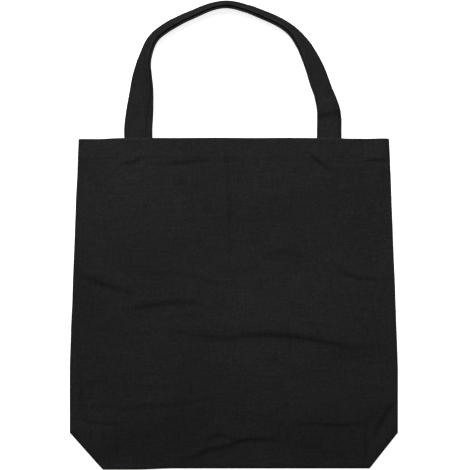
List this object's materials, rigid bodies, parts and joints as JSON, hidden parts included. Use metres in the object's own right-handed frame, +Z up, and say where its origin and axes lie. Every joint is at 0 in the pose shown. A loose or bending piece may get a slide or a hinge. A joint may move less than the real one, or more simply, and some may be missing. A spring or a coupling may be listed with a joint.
{
  "type": "canvas tote bag",
  "caption": "Empty black canvas tote with boxed base corners, a turned hem round the mouth and a swinging strap handle on each panel, laid flat on its back.",
  "frame": {"origin": "centre of the bag's footprint on the surface it lies on, with the handles laid out past the mouth", "axes": "+X across the bag to the right as seen from the front panel, +Y from the base fold towards the mouth and handles, +Z up out of the front panel"},
  "size_m": [0.394, 0.5614, 0.0291],
  "materials": {
    "canvas": "matt plain-weave cotton canvas",
    "strap": "matt folded canvas strap, pressed flat",
    "thread": "slightly lustrous sewing thread"
  },
  "bodies": {
    "bag": {"back_panel": "canvas", "front_panel": "canvas", "back_hem": "canvas", "front_hem": "canvas", "base_seam": "canvas", "left_side_seam": "canvas", "right_side_seam": "canvas", "left_corner_seam": "canvas", "right_corner_seam": "canvas", "front_strap_end_left": "strap", "front_strap_end_right": "strap", "back_strap_end_left": "strap", "back_strap_end_right": "strap", "back_hem_stitching": "thread", "front_hem_stitching": "thread", "front_box_stitch_left": "thread", "front_box_stitch_right": "thread", "back_box_stitch_left": "thread", "back_box_stitch_right": "thread"},
    "front_handle": {"front_handle": "strap", "front_handle_stitch_inner": "thread", "front_handle_stitch_outer": "thread"},
    "back_handle": {"back_handle": "strap", "back_handle_stitch_inner": "thread", "back_handle_stitch_outer": "thread"}
  },
  "joints": [
    {"name": "front_handle_swing", "type": "hinge", "parent": "bag", "child": "front_handle", "pos_m": [0, 0.11501, 0.01335], "axis": [1, 0, 0], "range_deg": [0, 165]},
    {"name": "back_handle_swing", "type": "hinge", "parent": "bag", "child": "back_handle", "pos_m": [0, 0.11501, 0.00165], "axis": [-1, 0, 0], "range_deg": [0, 165]}
  ]
}
